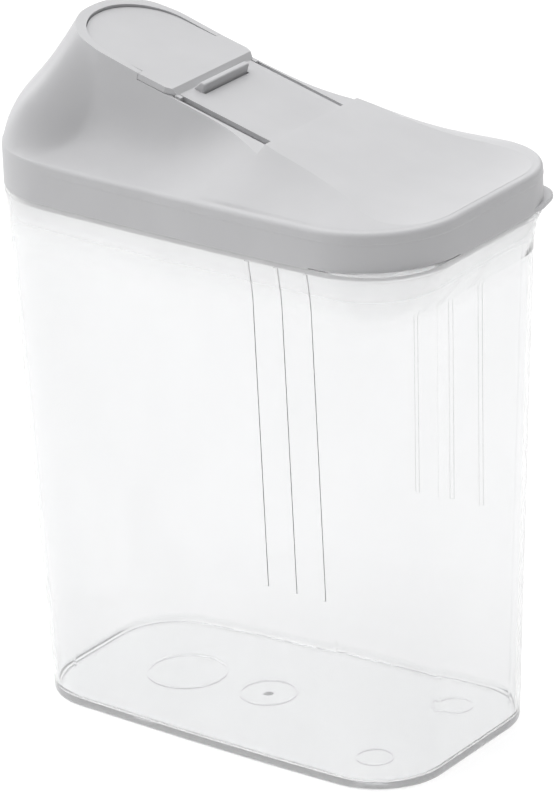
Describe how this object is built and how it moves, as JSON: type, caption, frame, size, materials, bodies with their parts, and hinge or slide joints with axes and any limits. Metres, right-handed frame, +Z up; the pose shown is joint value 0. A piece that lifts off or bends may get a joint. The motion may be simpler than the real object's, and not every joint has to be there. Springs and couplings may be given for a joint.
{
  "type": "cereal dispenser",
  "caption": "Tall clear dry-food container on a tapering rounded plan, with a soft snap lid rising to a spout and a closure that slides down the sloping deck of the lid.",
  "frame": {"origin": "centre of the base outline, on the surface it stands on", "axes": "+X along the long sides from the spout end to the back end, +Y across, +Z up"},
  "size_m": [0.1968, 0.1144, 0.2634],
  "materials": {
    "clear_shell": "clear, slightly hazy polypropylene, polished",
    "soft_lid": "soft light grey polyethylene, fine satin texture",
    "soft_closure": "soft light grey polyethylene, fine satin texture"
  },
  "bodies": {
    "container": {"container": "clear_shell"},
    "lid": {"lid": "soft_lid"},
    "closure": {"closure": "soft_closure"}
  },
  "joints": [
    {"name": "lid_lift", "type": "slide", "parent": "container", "child": "lid", "axis": [0, 0, 1], "range_m": [0, 0.04]},
    {"name": "closure_slide", "type": "slide", "parent": "lid", "child": "closure", "axis": [0.963, 0, -0.2696], "range_m": [0, 0.036]}
  ]
}
